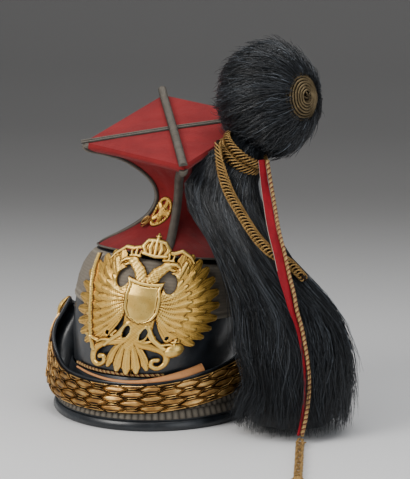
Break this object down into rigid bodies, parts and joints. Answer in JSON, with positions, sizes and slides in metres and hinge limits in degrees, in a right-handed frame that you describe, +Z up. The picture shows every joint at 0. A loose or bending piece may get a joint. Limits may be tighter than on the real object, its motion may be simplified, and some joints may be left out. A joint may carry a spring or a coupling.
{
  "type": "czapka (square-topped lancer's cap)",
  "caption": "Lancer's square-topped cap with a double-eagle plate, scaled chin chain, horsehair ball plume with a long fall, plaited gold cords and a red ribbon.",
  "frame": {"origin": "middle of the footprint of everything but the free cords, on the plane the rim rests on", "axes": "+Z up through the skull, -Y towards the front of the cap, +X towards the wearer's left"},
  "size_m": [0.3076, 0.4228, 0.3618],
  "materials": {
    "black_leather": "polished black leather",
    "gilt": "fire-gilt, bright on the ridges",
    "old_gilt": "gilt with a dark patina",
    "dark_brass": "toned brass, nearly bronze",
    "red_cloth": "napped crimson broadcloth",
    "ribbon_red": "red flat ribbon",
    "tress": "tarnished metallic lace",
    "woven_lace": "grey-brown woven lace",
    "horsehair": "black horsehair",
    "gold_cord": "gold cord, dark in the folds",
    "brown_leather": "worn brown leather"
  },
  "bodies": {
    "root": {"skull": "black_leather", "skull_lace_band": "woven_lace", "visor": "black_leather", "visor_lace": "woven_lace", "visor_binding": "black_leather", "neck_peak": "black_leather", "crown": "red_cloth", "chin_strap_backing": "black_leather", "eagle_plate": "gilt", "side_rosette": "gilt", "chin_boss_right": "gilt", "chin_boss_left": "gilt", "chin_link_01": "old_gilt", "chin_link_02": "old_gilt", "chin_link_03": "old_gilt", "chin_link_04": "old_gilt", "chin_link_05": "old_gilt", "chin_link_06": "old_gilt", "chin_link_07": "old_gilt", "chin_link_08": "old_gilt", "chin_link_09": "old_gilt", "chin_link_10": "old_gilt", "chin_link_11": "old_gilt", "chin_link_12": "old_gilt", "chin_link_13": "old_gilt", "chin_link_14": "old_gilt", "chin_link_15": "old_gilt", "chin_link_16": "old_gilt", "chin_link_17": "old_gilt", "chin_link_18": "old_gilt", "chin_link_19": "old_gilt", "chin_link_20": "old_gilt", "chin_link_21": "old_gilt", "chin_link_22": "old_gilt", "rosette_loop": "old_gilt", "plume_boss": "dark_brass", "cord_ribbon": "ribbon_red", "lace_left": "tress", "lace_front": "tress", "lace_right": "tress", "lace_back": "tress", "lace_cross_side": "tress", "lace_cross_front": "tress", "plume_ball": "horsehair", "plume_fall": "horsehair", "neck_plait_upper": "gold_cord", "neck_plait_lower": "gold_cord", "hanging_plait": "gold_cord", "cap_cord": "gold_cord", "floor_plait": "gold_cord", "end_knot": "gold_cord", "visor_cord": "gold_cord", "strap_tongue": "brown_leather"}
  },
  "joints": []
}
